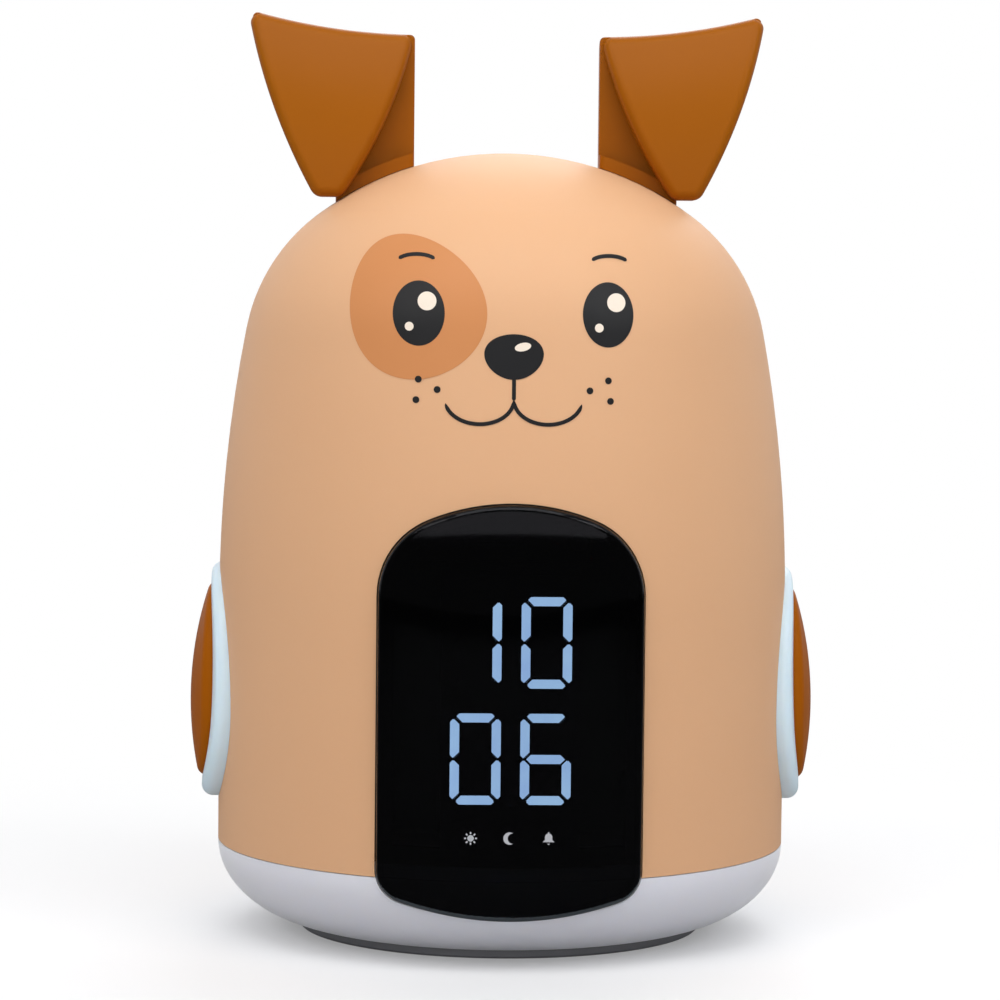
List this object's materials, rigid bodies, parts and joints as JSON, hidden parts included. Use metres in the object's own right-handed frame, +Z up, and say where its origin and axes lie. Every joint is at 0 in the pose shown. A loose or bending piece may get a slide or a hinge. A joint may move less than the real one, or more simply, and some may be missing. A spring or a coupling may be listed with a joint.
{
  "type": "kids alarm clock with night light",
  "caption": "Children's alarm clock with a dog-like dome, folded ears, an arched display window and a frosted night-light base.",
  "frame": {"origin": "middle of the foot ring's underside, on the surface the clock stands on", "axes": "+Z up through the dome, -Y out of the display window, +X towards the button on the front's right-hand side"},
  "size_m": [0.121, 0.1136, 0.1767],
  "materials": {
    "dome": "matt, faintly pearly",
    "ear": "glossy",
    "diffuser": "frosted, milky",
    "ring": "frosted gloss",
    "lens": "black gloss",
    "cap": "glossy",
    "black_plastic": "matt",
    "lit_segment": "lit",
    "white_plastic": "satin",
    "foot_rubber": "matt",
    "mat_rubber": "matt",
    "key_rubber": "satin",
    "screw_steel": "zinc plated",
    "spring_steel": "bright",
    "board": "solder mask",
    "board_trim": "moulded",
    "led": "clear yellow",
    "cell_wrap": "printed wrap",
    "inlet_metal": "plated",
    "paper_cone": "matt",
    "basket_steel": "plated",
    "magnet": "plated",
    "lead_wrap": "satin",
    "ribbon_wrap": "satin"
  },
  "bodies": {
    "clock_body": {"dome_shell": "dome", "ear_left": "ear", "ear_right": "ear", "ear_screws": "screw_steel", "base_diffuser": "diffuser", "foot_ring": "foot_rubber", "bottom_plate": "white_plastic", "base_screws": "screw_steel", "battery_cells": "cell_wrap", "cell_springs": "spring_steel", "cell_plates": "spring_steel", "display_lens": "lens", "display_frame": "black_plastic", "digit_block": "black_plastic", "digit_segments": "lit_segment", "display_board": "board", "display_screws": "screw_steel", "light_ring_left": "ring", "light_ring_right": "ring", "button_spring_left": "spring_steel", "button_spring_right": "spring_steel", "side_switch_left": "board_trim", "side_switch_right": "board_trim", "side_board_left": "board", "side_board_right": "board", "side_leds": "led", "side_screws": "screw_steel", "rear_panel": "dome", "key_mat": "mat_rubber", "slider_switch": "board_trim", "power_inlet": "inlet_metal", "rear_board": "board", "rear_screws": "screw_steel", "speaker_basket": "basket_steel", "speaker_cone": "paper_cone", "speaker_magnet": "magnet", "chassis": "white_plastic", "chassis_screws": "screw_steel", "glow_board": "board", "glow_leds": "led", "main_board": "board", "main_board_screws": "screw_steel", "board_parts": "board_trim", "display_ribbon": "ribbon_wrap", "rear_ribbon": "ribbon_wrap", "battery_leads": "lead_wrap", "glow_leads": "lead_wrap", "speaker_leads": "lead_wrap", "side_leads": "lead_wrap"},
    "left_button": {"button_cap_left": "cap", "switch_plunger_left": "white_plastic"},
    "right_button": {"button_cap_right": "cap", "switch_plunger_right": "white_plastic"},
    "alarm_key": {"key_alarm": "key_rubber"},
    "set_key": {"key_set": "key_rubber"},
    "minus_key": {"key_minus": "key_rubber"},
    "plus_key": {"key_plus": "key_rubber"},
    "alarm_slider": {"slider_knob": "key_rubber"},
    "battery_cover": {"battery_door": "white_plastic", "battery_door_screw": "screw_steel"}
  },
  "joints": [
    {"name": "left_button_press", "type": "slide", "parent": "clock_body", "child": "left_button", "axis": [1, 0, 0], "range_m": [0, 0.0012], "stiffness_N_per_m": 900, "springref_m": -0.0012, "deforming": ["button_spring_left"]},
    {"name": "right_button_press", "type": "slide", "parent": "clock_body", "child": "right_button", "axis": [-1, 0, 0], "range_m": [0, 0.0012], "stiffness_N_per_m": 900, "springref_m": -0.0012, "deforming": ["button_spring_right"]},
    {"name": "alarm_key_press", "type": "slide", "parent": "clock_body", "child": "alarm_key", "axis": [0, -1, 0], "range_m": [0, 0.0009], "stiffness_N_per_m": 1200, "springref_m": -0.0008, "deforming": ["key_mat"]},
    {"name": "set_key_press", "type": "slide", "parent": "clock_body", "child": "set_key", "axis": [0, -1, 0], "range_m": [0, 0.0009], "stiffness_N_per_m": 1200, "springref_m": -0.0008, "deforming": ["key_mat"]},
    {"name": "minus_key_press", "type": "slide", "parent": "clock_body", "child": "minus_key", "axis": [0, -1, 0], "range_m": [0, 0.0009], "stiffness_N_per_m": 1200, "springref_m": -0.0008, "deforming": ["key_mat"]},
    {"name": "plus_key_press", "type": "slide", "parent": "clock_body", "child": "plus_key", "axis": [0, -1, 0], "range_m": [0, 0.0009], "stiffness_N_per_m": 1200, "springref_m": -0.0008, "deforming": ["key_mat"]},
    {"name": "alarm_slider_slide", "type": "slide", "parent": "clock_body", "child": "alarm_slider", "axis": [1, 0, 0], "range_m": [0, 0.003]},
    {"name": "battery_cover_lift", "type": "slide", "parent": "clock_body", "child": "battery_cover", "axis": [0, 0, -1], "range_m": [0, 0.012]}
  ]
}
